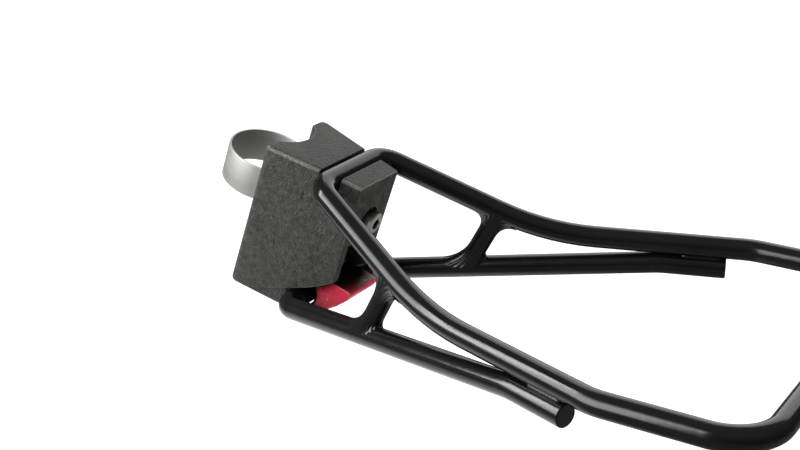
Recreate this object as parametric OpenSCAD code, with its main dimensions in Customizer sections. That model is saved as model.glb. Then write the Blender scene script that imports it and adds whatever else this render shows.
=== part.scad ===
// Quick release mount: a clamped housing and the rod frame that hooks into it.
// The moulded housing has a half-round seat, which a steel band closes to a full circle. The frame of
// bent rod hangs from its upper crossbar in the housing's slot, and a sprung lever holds its lower one.
// X points rearwards, Y to the right and Z up along the seat's axis. The origin lies on that axis,
// level with the housing's bottom plane, and all heights are measured from there.

/* [Seat] */
// Diameter of the circle that the seat and the band make
seat_d = 28.6; // [27.6:0.1:29]

/* [Housing] */
// Height of the housing at its front plane
front_h = 59; // [58.5:0.1:60]
// Height of the hook at its rear plane
rear_h = 60.2; // [60:0.1:62]
// Distance from the seat's axis to the front plane
front_x = 8; // [7.6:0.1:8.4]
// Distance from the seat's axis to the rear plane
rear_x = 47; // [46.5:0.1:49]
// Width across the side faces at the front plane
front_w = 37.2; // [36.4:0.1:40]
// Width across the side faces at the rear plane
rear_w = 23.9; // [23.4:0.1:25]
// Radius of the upright front edges
front_edge_r = 2.6; // [2:0.1:3.2]
// Radius of the upright rear edges at the bottom
rear_edge_r = 0.9; // [0.6:0.1:1.2]
// Radius of the rounding along the top of the hook's sides
hook_r = 1.8; // [1.4:0.1:2.4]
// Radius of the hook's rear edges
hook_edge_r = 0.7; // [0.4:0.1:1]
// Radius of the rims round the front of the top and the bottom
rim_r = 1.5; // [0.8:0.1:1.6]
// Slope of the straight part of the lower edge, in degrees
lower_edge_deg = 27.2; // [25:0.1:29]
// Distance from the seat's axis at which the lower edge leaves the bottom plane
lower_edge_x = 14.6; // [13:0.1:16]
// Radius of the curved part of the lower edge
lower_edge_r = 61; // [55:1:80]
// Depth by which the toe's sides stand back below the lower edge
toe_inset = 0.8; // [0.4:0.1:1.2]

/* [Rods] */
// Diameter of the frame's rods
rod_d = 8; // [7.6:0.1:8.2]
// Gap between a crossbar and what it lies in
bar_gap = 0.3; // [0.2:0.05:0.4]
// Distance from the seat's axis to the front wall of the slot and the rear wall of the toe
slot_x = 30.15; // [29.8:0.05:30.5]
// Height of the upper crossbar's axis
upper_bar_h = 56.8; // [56.2:0.1:57.4]
// Height of the lower crossbar's axis
lower_bar_h = 4.9; // [4.5:0.1:5.2]
// Distance from the middle to the point where the axes of crossbar and arm meet
corner_y = 20.1; // [19.8:0.1:22]
// Bend radius of the front corners, to the rod's axis
corner_r = 9.4; // [8.6:0.1:10]
// Sideways run of the arms for each millimetre rearwards
spread = 0.37; // [0.34:0.01:0.4]
// Drop of the upper arms for each millimetre rearwards
upper_slope = 0.105; // [0.08:0.005:0.13]
// Distance from the seat's axis to the bend where the lower arms turn along the tail
lap_x = 136.7; // [134:0.1:139]
// Rise of the level tail for each millimetre rearwards
tail_slope = 0.334; // [0.32:0.002:0.35]
// Distance from the seat's axis to the knee of the upper arms
knee_x = 97; // [95:1:99]
// Bend radius of the knee
knee_r = 92; // [84:1:96]
// Half the width of the tail, to the rods' axes
tail_y = 68; // [67:1:72]
// Bend radius where the arms turn parallel
side_r = 22; // [16:1:24]
// Distance from the seat's axis to the rear crossbar's axis
tail_x = 212; // [208:1:230]
// Bend radius of the rear corners
rear_corner_r = 16; // [12:1:20]
// Length of the lower arms along the underside of the tail
tail_lap = 24; // [20:1:25]

/* [Struts and welds] */
// Distance from the seat's axis to the middle of the struts
strut_x = 77.5; // [72:0.1:84]
// Distance by which a strut's head stands behind its foot
strut_lean = 4.2; // [2:0.1:5]
// Diameter of the struts
strut_d = 7.2; // [6.6:0.1:7.4]
// Height of the weld fillets along the strut
weld_h = 5.2; // [4:0.1:6]
// Reach of the weld fillets along the arm, from the strut's axis
weld_reach = 8.8; // [8:0.1:10]
// Thickness of the weld fillets at their edges
weld_edge = 0.3; // [0.2:0.05:0.5]
// Gap between the lapped rods, which the weld fills
lap_gap = 0.1; // [0.05:0.05:0.2]
// Length of the weld between the lapped rods
tail_weld_len = 14; // [10:1:16]
// Width of the weld between the lapped rods
tail_weld_w = 4.6; // [3:0.1:6]

/* [Band and clamp] */
// Width of the band
band_w = 13.2; // [12:0.1:13.6]
// Thickness of the band
band_t = 0.8; // [0.6:0.1:0.9]
// Height of the band's middle above the housing's bottom plane
band_up = 40.1; // [39.5:0.1:41]
// Angle by which the band's straight ends lean inwards
band_lean = 20; // [18:0.5:22]
// Diameter of the pins in the band's loops
band_pin_d = 3; // [2.4:0.1:3.2]
// Gap between the pins and the band's loops
loop_gap = 0.05; // [0.02:0.01:0.1]
// Distance from the seat's axis to the band pins
band_pin_x = 23.4; // [23:0.1:23.8]
// Length of the strip that is folded back behind each loop
fold_len = 5; // [3:0.1:6]
// Length of the draw block
block_l = 6.6; // [6:0.1:7]
// Width of the draw block between the loops
block_w = 10.4; // [9.6:0.1:11]
// Thickness of the draw block's two flanges
flange_t = 1.6; // [1.2:0.1:1.8]
// Wall of the draw block round each pin
flange_wall = 1.1; // [0.9:0.1:1.2]
// Free space round the draw block
block_gap = 0.3; // [0.2:0.05:0.4]
// Distance from the seat's axis to the rear wall of the clamp pocket
pocket_x = 28.6; // [28.4:0.05:28.8]
// Wall between the clamp pocket's sides and the housing's side faces, at the front plane
pocket_wall = 5; // [4.6:0.1:5.1]

/* [Clamp screw] */
// Height of the screw's axis above the housing's bottom plane
screw_up = 42.8; // [42:0.1:43]
// Diameter of the screw
screw_d = 5; // [4:0.1:5]
// Length of the screw under its head
screw_len = 25; // [23:1:25]
// Diameter of the screw's head
head_d = 8.5; // [8:0.1:9]
// Height of the screw's head
head_h = 5; // [4:0.1:5.2]
// Width across the flats of the socket
socket_af = 4; // [3:0.5:5]
// Depth of the socket
socket_depth = 2.6; // [2:0.1:3]
// Diameter of the washer
washer_d = 10; // [9.2:0.1:10]
// Thickness of the washer
washer_t = 1; // [0.8:0.1:1.2]
// Depth of the recess round the washer, from the rear plane
washer_recess = 2.4; // [2:0.1:2.8]
// Gap round the washer and round the screw in the housing
screw_gap = 0.3; // [0.2:0.05:0.4]
// Gap between the screw and the thread's flanks in the draw block
thread_gap = 0.05; // [0.02:0.01:0.1]

/* [Release lever] */
// Distance from the seat's axis to the lever's pin
pivot_x = 36; // [35.8:0.1:36.4]
// Height of the lever's pin above the housing's bottom plane
pivot_h = 17; // [16.8:0.1:17.4]
// Diameter of the lever's pin
lever_pin_d = 4; // [3.4:0.1:4.2]
// Running clearance of the lever on its pin
pin_gap = 0.05; // [0.03:0.01:0.1]
// Depth of the blind end of the pin's hole from the left side face
pin_wall = 1.4; // [1.2:0.1:2]
// Width of the lever
lever_w = 17.6; // [16.6:0.1:17.8]
// Gap between the lever and each side wall
lever_side_gap = 0.3; // [0.2:0.05:0.4]
// Radius of the lever's boss
boss_r = 4.2; // [4:0.1:4.4]
// Gap between the lower crossbar and the lever's claw
claw_gap = 0.45; // [0.4:0.05:0.5]
// Distance from the seat's axis to the rear tip of the lever's pad
pad_x = 53.8; // [53:0.1:54.4]
// Height of the pad's top face
pad_h = 17; // [16.6:0.1:17.2]
// Width of the slot in the boss for the spring
spring_slot_w = 6.6; // [6.2:0.1:7]
// Mean radius of the spring's coils
coil_r = 3.1; // [2.9:0.05:3.2]
// Diameter of the spring's wire
wire_d = 0.9; // [0.7:0.05:1]
// Number of whole turns of the spring
coil_turns = 4; // [3:1:5]

/* [Hidden] */
$fn = 64;
eps = 0.01;
far = 80;

// Straight lengths run into the arcs by splice, and stay inside their surface by splice_step
splice = 0.1;
splice_step = 0.02;

seat_r = seat_d / 2;
rod_r = rod_d / 2;
strut_r = strut_d / 2;
bar_x = slot_x + bar_gap + rod_r;
taper = (front_w - rear_w) / 2 / (rear_x - front_x);
lower_edge_slope = tan(lower_edge_deg);
recess_y = lever_w / 2 + lever_side_gap;

// Where the band leaves its arc, and how far its straight ends run to the loops
band_r = seat_r + band_t / 2;
loop_r = band_pin_d / 2 + loop_gap + band_t / 2;
leave_x = band_r * sin(band_lean);
leave_y = band_r * cos(band_lean);
end_len = (band_pin_x - loop_r * sin(band_lean) - leave_x) / cos(band_lean);
band_pin_y = leave_y - end_len * sin(band_lean) + loop_r * cos(band_lean);

// Half the housing's width at a distance x from the seat's axis
function side_y(x) = front_w / 2 - taper * (x - front_x);

// Height of the straight part of the lower edge
function edge_h(x) = (x - lower_edge_x) * lower_edge_slope;

// Points of the lower edge, a straight stretch followed by an arc that bends upwards
edge_turn_x = 33;
edge_arc_deg = 17;
edge_arc_steps = 8;
function lower_edge() = [
    [lower_edge_x, 0],
    for (i = [0:edge_arc_steps])
        let (a = lower_edge_deg + edge_arc_deg * i / edge_arc_steps)
        [edge_turn_x + lower_edge_r * (sin(a) - sin(lower_edge_deg)),
         edge_h(edge_turn_x) + lower_edge_r * (cos(lower_edge_deg) - cos(a))]
];

// A side outline in X and height, carried across the width from y0 to y1
module across(y0, y1) {
    translate([0, y1, 0]) rotate([90, 0, 0]) linear_extrude(height = y1 - y0) children();
}

// A cylinder across the width at a point of the side view
module cross_bore(x, h, r, y0, y1) {
    translate([x, y0, h]) rotate([-90, 0, 0]) cylinder(r = r, h = y1 - y0);
}

// Distance from the middle to the axis of an upright edge of radius r, so that it touches the side face
function edge_y(x, r) = side_y(x) - r * sqrt(1 + taper * taper);

// The front edges have rounded rims at both ends
edge_sides = 32;
rim_step = 18;
module front_edges() {
    x = front_x + front_edge_r;
    flat_r = front_edge_r - rim_r;
    for (s = [-1, 1])
        translate([x, s * edge_y(x, front_edge_r), 0]) rotate_extrude($fn = edge_sides) polygon(concat(
            [[0, 0]],
            [for (a = [-90:rim_step:0]) [flat_r + rim_r * cos(a), rim_r + rim_r * sin(a)]],
            [for (a = [0:rim_step:90]) [flat_r + rim_r * cos(a), front_h - rim_r + rim_r * sin(a)]],
            [[0, front_h]]));
}

// The hook's upper rear corners are discs that face rearwards, and below them the rear edges are
// small upright cylinders
module rear_edges() {
    for (s = [-1, 1]) {
        translate([rear_x - hook_edge_r, s * edge_y(rear_x - hook_edge_r, hook_r), rear_h - hook_r])
            rotate([0, 90, 0]) rotate_extrude($fn = edge_sides) polygon(concat(
                [[0, 0]],
                [for (a = [0:rim_step:90])
                    [hook_r - hook_edge_r + hook_edge_r * cos(a), hook_edge_r * sin(a)]],
                [[0, hook_edge_r]]));
        translate([rear_x - rear_edge_r, s * edge_y(rear_x - rear_edge_r, rear_edge_r), 0])
            cylinder(r = rear_edge_r, h = rim_r, $fn = edge_sides);
    }
}

module housing_block() {
    hull() {
        front_edges();
        rear_edges();
    }
}

// Everything below the lower edge, behind x0
module under_edge(x0) {
    difference() {
        across(-far, far) polygon(concat(
            lower_edge(),
            [[rear_x + far, lower_edge()[edge_arc_steps + 1][1]],
             [rear_x + far, -far], [lower_edge_x, -far]]));
        translate([x0 - 2 * far, -2 * far, -2 * far]) cube([2 * far, 4 * far, 4 * far]);
    }
}

// The toe's sides stand back a little below the lower edge
module toe_side_cut() {
    difference() {
        under_edge(lower_edge_x);
        linear_extrude(height = far) polygon([
            [0, side_y(0) - toe_inset], [far, side_y(far) - toe_inset],
            [far, toe_inset - side_y(far)], [0, toe_inset - side_y(0)]]);
    }
}

// The slot that the upper crossbar drops into
module slot_cut() {
    cross_bore(bar_x, upper_bar_h, rod_r + bar_gap, -far, far);
    translate([slot_x, -far, upper_bar_h]) cube([rod_d + 2 * bar_gap, 2 * far, far]);
}

// The hollow under the hook in which the lever swings, open to the rear and below
recess_front_h = 25;
recess_top_h = 34.4;
recess_top_x = 37;
module lever_recess() {
    across(-recess_y, recess_y) polygon([
        [slot_x, -far], [slot_x, recess_front_h], [recess_top_x, recess_top_h],
        [rear_x + far, recess_top_h], [rear_x + far, -far]]);
}

// The pocket behind the seat for the draw block and the ends of the band
pocket_h = band_w + 2 * (flange_t + block_gap) + 2 * block_gap;
pocket_rear_y = band_pin_y + band_pin_d / 2 + flange_wall + block_gap;
module clamp_pocket() {
    translate([0, 0, band_up - pocket_h / 2]) linear_extrude(height = pocket_h) polygon([
        [0, side_y(front_x) - pocket_wall], [front_x, side_y(front_x) - pocket_wall],
        [pocket_x, pocket_rear_y], [pocket_x, -pocket_rear_y],
        [front_x, pocket_wall - side_y(front_x)], [0, pocket_wall - side_y(front_x)]]);
}

module screw_hole() {
    translate([seat_r, 0, screw_up]) rotate([0, 90, 0]) cylinder(d = screw_d + 2 * screw_gap, h = far);
    translate([rear_x - washer_recess, 0, screw_up]) rotate([0, 90, 0])
        cylinder(d = washer_d + 2 * screw_gap, h = far);
}

module pin_hole() {
    cross_bore(pivot_x, pivot_h, lever_pin_d / 2, pin_wall - side_y(pivot_x), far);
}

module housing() {
    color([0.25, 0.25, 0.24]) difference() {
        housing_block();
        translate([0, 0, -eps]) cylinder(r = seat_r, h = far + 2 * eps);
        clamp_pocket();
        slot_cut();
        under_edge(slot_x);
        toe_side_cut();
        lever_recess();
        screw_hole();
        pin_hole();
    }
}

// The band: an arc that closes the seat, and straight ends that lean in to the draw block
fold_share = 1.5;
module band_end() {
    loop_outer = loop_r + band_t / 2;
    fold_out = band_t * fold_share;
    difference() {
        union() {
            translate([leave_x, leave_y, 0]) rotate([0, 0, -band_lean]) {
                translate([-splice, splice_step - band_t / 2, splice_step])
                    cube([end_len + splice, band_t - 2 * splice_step, band_w - 2 * splice_step]);
                translate([end_len - loop_r - fold_len, 0, 2 * splice_step])
                    cube([fold_len + band_t, fold_out, band_w - 4 * splice_step]);
            }
            translate([band_pin_x, band_pin_y, 0]) cylinder(r = loop_outer, h = band_w);
        }
        translate([band_pin_x, band_pin_y, -eps]) cylinder(r = loop_outer - band_t, h = band_w + 2 * eps);
    }
}

module clamp_band() {
    color([0.80, 0.80, 0.78]) translate([0, 0, band_up - band_w / 2]) {
        rotate([0, 0, 90 - band_lean]) rotate_extrude(angle = 180 + 2 * band_lean)
            translate([seat_r, 0]) square([band_t, band_w]);
        band_end();
        mirror([0, 1, 0]) band_end();
    }
}

block_h = band_w + 2 * (flange_t + block_gap);
module band_pin(side) {
    color([0.62, 0.62, 0.64]) translate([band_pin_x, side * band_pin_y, band_up - block_h / 2])
        cylinder(d = band_pin_d, h = block_h);
}

// The block between the band's loops: a threaded body with a flange above and below the loops
module draw_block() {
    ear_r = band_pin_d / 2 + flange_wall;
    color([0.55, 0.55, 0.57]) translate([0, 0, band_up]) difference() {
        union() {
            translate([band_pin_x - block_l / 2, -block_w / 2, -block_h / 2])
                cube([block_l, block_w, block_h]);
            for (z = [-block_h / 2, block_h / 2 - flange_t]) {
                translate([band_pin_x - ear_r, -band_pin_y, z]) cube([2 * ear_r, 2 * band_pin_y, flange_t]);
                for (s = [-1, 1])
                    translate([band_pin_x, s * band_pin_y, z]) cylinder(r = ear_r, h = flange_t);
            }
        }
        for (s = [-1, 1])
            translate([band_pin_x, s * band_pin_y, -far]) cylinder(d = band_pin_d, h = 2 * far);
        translate([0, 0, screw_up - band_up]) rotate([0, 90, 0])
            cylinder(d = screw_d + 2 * thread_gap, h = far);
    }
}

head_x = rear_x - washer_recess + washer_t;
head_chamfer = 0.5;
module clamp_screw() {
    color([0.16, 0.16, 0.17]) translate([head_x, 0, screw_up]) rotate([0, 90, 0]) difference() {
        union() {
            cylinder(d = head_d, h = head_h - head_chamfer);
            translate([0, 0, head_h - head_chamfer])
                cylinder(d1 = head_d, d2 = head_d - 2 * head_chamfer, h = head_chamfer);
            translate([0, 0, -screw_len]) cylinder(d = screw_d, h = screw_len);
        }
        translate([0, 0, head_h - socket_depth])
            cylinder(d = socket_af / cos(30), h = socket_depth + eps, $fn = 6);
    }
}

module screw_washer() {
    color([0.60, 0.60, 0.61]) translate([head_x - washer_t, 0, screw_up]) rotate([0, 90, 0])
        difference() {
            cylinder(d = washer_d, h = washer_t);
            translate([0, 0, -eps]) cylinder(d = screw_d + screw_gap, h = washer_t + 2 * eps);
        }
}

// The lever's side outline: boss, claw behind the lower crossbar, and pad with a ramp below it
claw_r = rod_r + claw_gap;
claw_flare_r = 6.9;
claw_flare_x = 34;
claw_flare_h = 6.6;
flare_depth = 2.4;
nose_r = 0.9;
tip_r = 1;
ramp_low = [46.4, 5.6];
ramp_mid = [49.6, 9];
ramp_high = [53, 13.6];
ramp_run = 3;
ramp_step = 0.6;
nose_deg = 34;
nose_share = 0.8;
nose_out = claw_r + nose_r * nose_share;
nose = [bar_x + nose_out * cos(nose_deg), lower_bar_h - nose_out * sin(nose_deg)];
module lever_outline() {
    translate([pivot_x, pivot_h]) circle(r = boss_r);
    polygon([
        [pivot_x - boss_r, pivot_h], [bar_x, lower_bar_h + claw_r], [bar_x, lower_bar_h],
        [nose[0], nose[1] - nose_r], [ramp_low[0] - ramp_run, nose[1] + ramp_step], ramp_low, ramp_mid,
        ramp_high, [pad_x, pad_h - tip_r], [pad_x - tip_r, pad_h], [pivot_x, pad_h]]);
    translate([pad_x - tip_r, pad_h - tip_r]) circle(r = tip_r);
    translate(nose) circle(r = nose_r);
}

module claw_flare(side) {
    inner_y = side * (lever_w / 2 - flare_depth);
    outer_y = side * (lever_w / 2 + eps);
    hull() {
        cross_bore(bar_x, lower_bar_h, claw_r, inner_y, inner_y + eps);
        cross_bore(claw_flare_x, claw_flare_h, claw_flare_r, outer_y, outer_y + eps);
    }
}

spring_room = 0.9;
spring_slot_r = coil_r + wire_d / 2 + spring_room;
module release_lever() {
    color([0.76, 0.13, 0.20]) difference() {
        across(-lever_w / 2, lever_w / 2) lever_outline();
        cross_bore(bar_x, lower_bar_h, claw_r, -far, far);
        claw_flare(-1);
        claw_flare(1);
        cross_bore(pivot_x, pivot_h, lever_pin_d / 2 + pin_gap, -far, far);
        cross_bore(pivot_x, pivot_h, spring_slot_r, -spring_slot_w / 2, spring_slot_w / 2);
    }
}

module lever_pin() {
    y0 = pin_wall - side_y(pivot_x);
    y1 = side_y(pivot_x + lever_pin_d / 2);
    color([0.66, 0.66, 0.68]) cross_bore(pivot_x, pivot_h, lever_pin_d / 2, y0, y1);
}

// The spring's wire in the side view, one point and one direction for each ring of the sweep
wire_sides = 8;
coil_step = 30;
start_deg = 70;
short_deg = 30;
turn_deg = 360 * coil_turns - short_deg;
rest_leg = 7;
wall_leg = 9.9;
coil_room = 1.6;
coil_rise = (spring_slot_w - coil_room) / turn_deg;
function coil_at(a) = [
    pivot_x + coil_r * cos(a), coil_rise * (a - start_deg - turn_deg / 2), pivot_h + coil_r * sin(a)];
function coil_dir(a) = [-sin(a), 0, cos(a)];
spring_path = concat(
    [[coil_at(start_deg) - rest_leg * coil_dir(start_deg), start_deg]],
    [for (i = [0:turn_deg / coil_step]) [coil_at(start_deg + i * coil_step), start_deg + i * coil_step]],
    [[coil_at(start_deg + turn_deg) + wall_leg * coil_dir(start_deg + turn_deg), start_deg + turn_deg]]);

module lever_spring() {
    last = len(spring_path) - 1;
    points = [for (p = spring_path) for (k = [0:wire_sides - 1])
        p[0] + wire_d / 2 * (cos(360 * k / wire_sides) * [cos(p[1]), 0, sin(p[1])]
                             + sin(360 * k / wire_sides) * [0, 1, 0])];
    sides = [for (i = [0:last - 1]) for (k = [0:wire_sides - 1])
        [i * wire_sides + k, i * wire_sides + (k + 1) % wire_sides,
         (i + 1) * wire_sides + (k + 1) % wire_sides, (i + 1) * wire_sides + k]];
    caps = [[for (k = [wire_sides - 1:-1:0]) k], [for (k = [0:wire_sides - 1]) last * wire_sides + k]];
    color([0.70, 0.70, 0.72]) polyhedron(points = points, faces = concat(sides, caps), convexity = 8);
}

// Bent rods: straight lengths and arcs along a list of corners
function unit(v) = v / norm(v);
function turn_of(p, q, s) = acos(unit(q - p) * unit(s - q));
function setback(p, q, s, r) = r * tan(turn_of(p, q, s) / 2);

module straight(a, b, r) {
    d = unit(b - a);
    translate(a) rotate([0, acos(d[2]), atan2(d[1], d[0])]) cylinder(r = r, h = norm(b - a));
}

// The arc at corner q between the directions from p and to s
module corner(p, q, s, r) {
    t = setback(p, q, s, r);
    v = unit(q - p);
    a = q - v * t;
    centre = q + unit(unit(s - q) - v) * r / cos(turn_of(p, q, s) / 2);
    u = unit(a - centre);
    w = cross(u, v);
    multmatrix([[u[0], v[0], w[0], centre[0]], [u[1], v[1], w[1], centre[1]],
                [u[2], v[2], w[2], centre[2]], [0, 0, 0, 1]])
        rotate_extrude(angle = turn_of(p, q, s)) translate([r, 0]) circle(r = rod_r);
}

// A rod through the corners pts; the radius at each corner is in radii, 0 at a free end
module bent_rod(pts, radii, closed) {
    n = len(pts);
    for (i = [0:closed ? n - 1 : n - 2]) {
        j = (i + 1) % n;
        d = unit(pts[j] - pts[i]);
        back_i = radii[i] == 0 ? 0 : setback(pts[(i + n - 1) % n], pts[i], pts[j], radii[i]);
        back_j = radii[j] == 0 ? 0 : setback(pts[i], pts[j], pts[(j + 1) % n], radii[j]);
        straight(pts[i] + d * (back_i - splice), pts[j] - d * (back_j - splice), rod_r - splice_step);
    }
    for (i = [0:n - 1])
        if (radii[i] > 0) corner(pts[(i + n - 1) % n], pts[i], pts[(i + 1) % n], radii[i]);
}

function arm_y(x) = corner_y + spread * (x - bar_x);
function upper_arm(x, side) = [x, side * arm_y(x), upper_bar_h - upper_slope * (x - bar_x)];
function lower_arm(x, side) = [x, side * arm_y(x), lower_bar_h + lower_slope * (x - bar_x)];
knee_h = upper_arm(knee_x, 1)[2];
function tail_h(x) = knee_h + tail_slope * (x - knee_x);
side_x = bar_x + (tail_y - corner_y) / spread;

module upper_loop() {
    half = [[bar_x, corner_y, upper_bar_h], upper_arm(knee_x, 1), [side_x, tail_y, tail_h(side_x)],
            [tail_x, tail_y, tail_h(tail_x)]];
    radii = [corner_r, knee_r, side_r, rear_corner_r];
    color([0.09, 0.09, 0.10])
        bent_rod(concat(half, [for (i = [3:-1:0]) [half[i][0], -half[i][1], half[i][2]]]),
                 concat(radii, [for (i = [3:-1:0]) radii[i]]), true);
}

// The lower arms rise to the tail's underside, bend there and run on along it
lap_drop = (rod_d + lap_gap) * sqrt(1 + pow(tail_slope, 2) / (1 + pow(spread, 2)));
lower_slope = (tail_h(lap_x) - lap_drop - lower_bar_h) / (lap_x - bar_x);
lap_r = 40;
lap_dir = unit([1, spread, tail_slope]);
lap_start = lower_arm(lap_x, 1);
lap_end = lap_start + lap_dir * tail_lap;

module lower_loop() {
    half = [[bar_x, corner_y, lower_bar_h], lap_start, lap_end];
    radii = [corner_r, lap_r, 0];
    color([0.09, 0.09, 0.10])
        bent_rod(concat([for (i = [2:-1:0]) [half[i][0], -half[i][1], half[i][2]]], half),
                 concat([for (i = [2:-1:0]) radii[i]], radii), false);
}

foot_x = strut_x - strut_lean / 2;
head_end_x = strut_x + strut_lean / 2;
function strut_dir(side) = unit(upper_arm(head_end_x, side) - lower_arm(foot_x, side));

module strut(side) {
    color([0.09, 0.09, 0.10]) difference() {
        straight(lower_arm(foot_x, side), upper_arm(head_end_x, side), strut_r);
        straight(lower_arm(foot_x - rod_d, side), lower_arm(foot_x + rod_d, side), rod_r);
        straight(upper_arm(head_end_x - rod_d, side), upper_arm(head_end_x + rod_d, side), rod_r);
    }
}

// A weld fillet where a strut stands on an arm. o is the point where their axes meet, a the arm's
// direction and up the strut's. For each direction f round the strut a section is drawn: a hollow
// curve down to the arm, then back over the arm's surface and up the strut's.
weld_sides = 32;
weld_steps = 6;
weld_wrap_deg = 84;
weld_skin = 0.03;

// Height above o at which the strut's surface meets the arm's, in the direction f
function crotch_h(ua, f) =
    let (R = strut_r + weld_skin, aa2 = 1 - ua * ua,
         b = -2 * ua * sqrt(aa2) * R * cos(f),
         c = R * R * (1 - aa2 * cos(f) * cos(f)) - pow(rod_r + weld_skin, 2))
    (sqrt(b * b - 4 * aa2 * c) - b) / 2 / aa2;

// A point on the arm, by its place along the arm and its angle round it
function on_arm(o, a, up, along, turn, r) =
    let (k = unit(up - (up * a) * a))
    o + a * along + r * (cos(turn) * k + sin(turn) * cross(k, a));

function weld_section(o, a, up, f) =
    let (ua = up * a, ah = unit(a - ua * up), s = cross(up, ah), k = unit(up - ua * a),
         dir = cos(f) * ah + sin(f) * s,
         ring = o + up * (rod_r + weld_h) + dir * (strut_r + weld_edge),
         foot = on_arm(o, a, up, weld_reach * cos(f), weld_wrap_deg * sin(f), rod_r + weld_edge),
         hc = crotch_h(ua, f),
         crotch = up * hc + dir * (strut_r + weld_skin),
         crotch_turn = asin(max(-1, min(1, crotch * s / (rod_r + weld_skin)))),
         mid = o + up * (hc + weld_edge) + dir * (strut_r + weld_edge + weld_skin))
    concat(
        [for (i = [0:weld_steps]) let (t = i / weld_steps)
            pow(1 - t, 2) * ring + 2 * t * (1 - t) * mid + pow(t, 2) * foot],
        [for (i = [0:weld_steps - 1]) let (t = i / weld_steps)
            on_arm(o, a, up, (1 - t) * weld_reach * cos(f) + t * (crotch * a),
                (1 - t) * weld_wrap_deg * sin(f) + t * crotch_turn, rod_r + weld_skin)],
        [o + crotch, o + up * (rod_r + weld_h) + dir * (strut_r + weld_skin)]);

module weld_fillet(o, a, up) {
    sections = [for (k = [0:weld_sides - 1]) weld_section(o, a, up, 360 * k / weld_sides)];
    n = len(sections[0]);
    faces = [for (k = [0:weld_sides - 1]) for (i = [0:n - 1])
        let (k2 = (k + 1) % weld_sides, i2 = (i + 1) % n)
        [k * n + i, k * n + i2, k2 * n + i2, k2 * n + i]];
    polyhedron(points = [for (q = sections) each q], faces = faces, convexity = 6);
}

module strut_welds() {
    color([0.09, 0.09, 0.10]) for (side = [-1, 1]) {
        weld_fillet(lower_arm(foot_x, side), unit([1, side * spread, lower_slope]), strut_dir(side));
        weld_fillet(upper_arm(head_end_x, side), unit([1, side * spread, -upper_slope]), -strut_dir(side));
    }
}

// The weld in the groove between the lapped rods ends a little before the lower arm does, and lies
// against both rods where they bend too
weld_back = 2;
weld_share = 0.6;
module tail_welds() {
    start = lap_start + lap_dir * (tail_lap - tail_weld_len - weld_back);
    up = unit([0, 0, 1] - lap_dir[2] * lap_dir);
    color([0.09, 0.09, 0.10]) for (side = [-1, 1])
        mirror([0, side < 0 ? 1 : 0, 0]) difference() {
            translate(start + up * (rod_d + lap_gap) / 2)
                rotate([0, acos(lap_dir[2]), atan2(lap_dir[1], lap_dir[0])])
                translate([-rod_r * weld_share, -tail_weld_w / 2, 0])
                cube([rod_d * weld_share, tail_weld_w, tail_weld_len]);
            straight(lap_start, lap_end, rod_r);
            straight(lap_start + up * (rod_d + lap_gap), lap_end + up * (rod_d + lap_gap), rod_r);
            lower_loop();
            upper_loop();
        }
}

// A low ring round the rear crossbar, where the upper loop's ends are joined
ring_y = 2;
ring_top_y = 0.8;
ring_foot_r = rod_r + 0.25;
ring_top_r = rod_r + 0.7;
module closing_weld() {
    color([0.09, 0.09, 0.10]) translate([tail_x, 0, tail_h(tail_x)]) rotate([90, 0, 0]) difference() {
        rotate_extrude() polygon([
            [0, -ring_y], [ring_foot_r, -ring_y], [ring_top_r, -ring_top_y],
            [ring_top_r, ring_top_y], [ring_foot_r, ring_y], [0, ring_y]]);
        translate([0, 0, -far]) cylinder(r = rod_r, h = 2 * far);
    }
}

housing();
clamp_band();
band_pin(-1);  // band_pin_left
band_pin(1);  // band_pin_right
draw_block();
clamp_screw();
screw_washer();
release_lever();
lever_pin();
lever_spring();
upper_loop();
lower_loop();
strut(-1);  // strut_left
strut(1);  // strut_right
strut_welds();
tail_welds();
closing_weld();
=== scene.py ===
import bmesh
import bpy
import numpy as np
from mathutils import Matrix, Quaternion, Vector


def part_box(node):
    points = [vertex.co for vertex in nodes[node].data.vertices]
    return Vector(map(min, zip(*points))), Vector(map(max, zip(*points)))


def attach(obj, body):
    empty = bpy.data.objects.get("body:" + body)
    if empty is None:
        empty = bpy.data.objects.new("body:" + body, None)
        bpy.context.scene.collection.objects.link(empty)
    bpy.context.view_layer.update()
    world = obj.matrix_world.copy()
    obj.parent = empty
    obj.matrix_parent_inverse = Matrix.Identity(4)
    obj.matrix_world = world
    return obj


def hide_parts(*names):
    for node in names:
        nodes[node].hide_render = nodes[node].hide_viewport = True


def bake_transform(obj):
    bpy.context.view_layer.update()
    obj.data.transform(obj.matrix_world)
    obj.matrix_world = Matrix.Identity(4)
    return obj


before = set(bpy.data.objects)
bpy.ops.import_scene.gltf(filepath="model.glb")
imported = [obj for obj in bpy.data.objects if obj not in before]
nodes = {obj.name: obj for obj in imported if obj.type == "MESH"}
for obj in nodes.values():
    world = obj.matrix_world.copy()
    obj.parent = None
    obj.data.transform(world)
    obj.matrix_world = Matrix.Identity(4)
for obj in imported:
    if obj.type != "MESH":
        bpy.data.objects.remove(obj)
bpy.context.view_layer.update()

# The camera looks down on the mount from the left and the rear, and is rolled, so that the housing
# leans forwards in the picture.
camera_at = (0.24315, -0.41566, 0.31004)
camera_right = (0.8038, 0.5280, 0.2740)
camera_up = (-0.4810, 0.3059, 0.8216)
camera_back = (0.3500, -0.7922, 0.4999)
cam_data = bpy.data.cameras.new("camera")
cam_data.sensor_width = 36.0
cam_data.lens = 66.42
camera = bpy.data.objects.new("camera", cam_data)
camera_axes = Matrix((camera_right, camera_up, camera_back)).transposed()
camera.matrix_world = Matrix.Translation(camera_at) @ camera_axes.to_4x4()
bpy.context.scene.collection.objects.link(camera)
bpy.context.scene.camera = camera
bpy.context.scene.view_settings.view_transform = "Standard"

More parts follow.
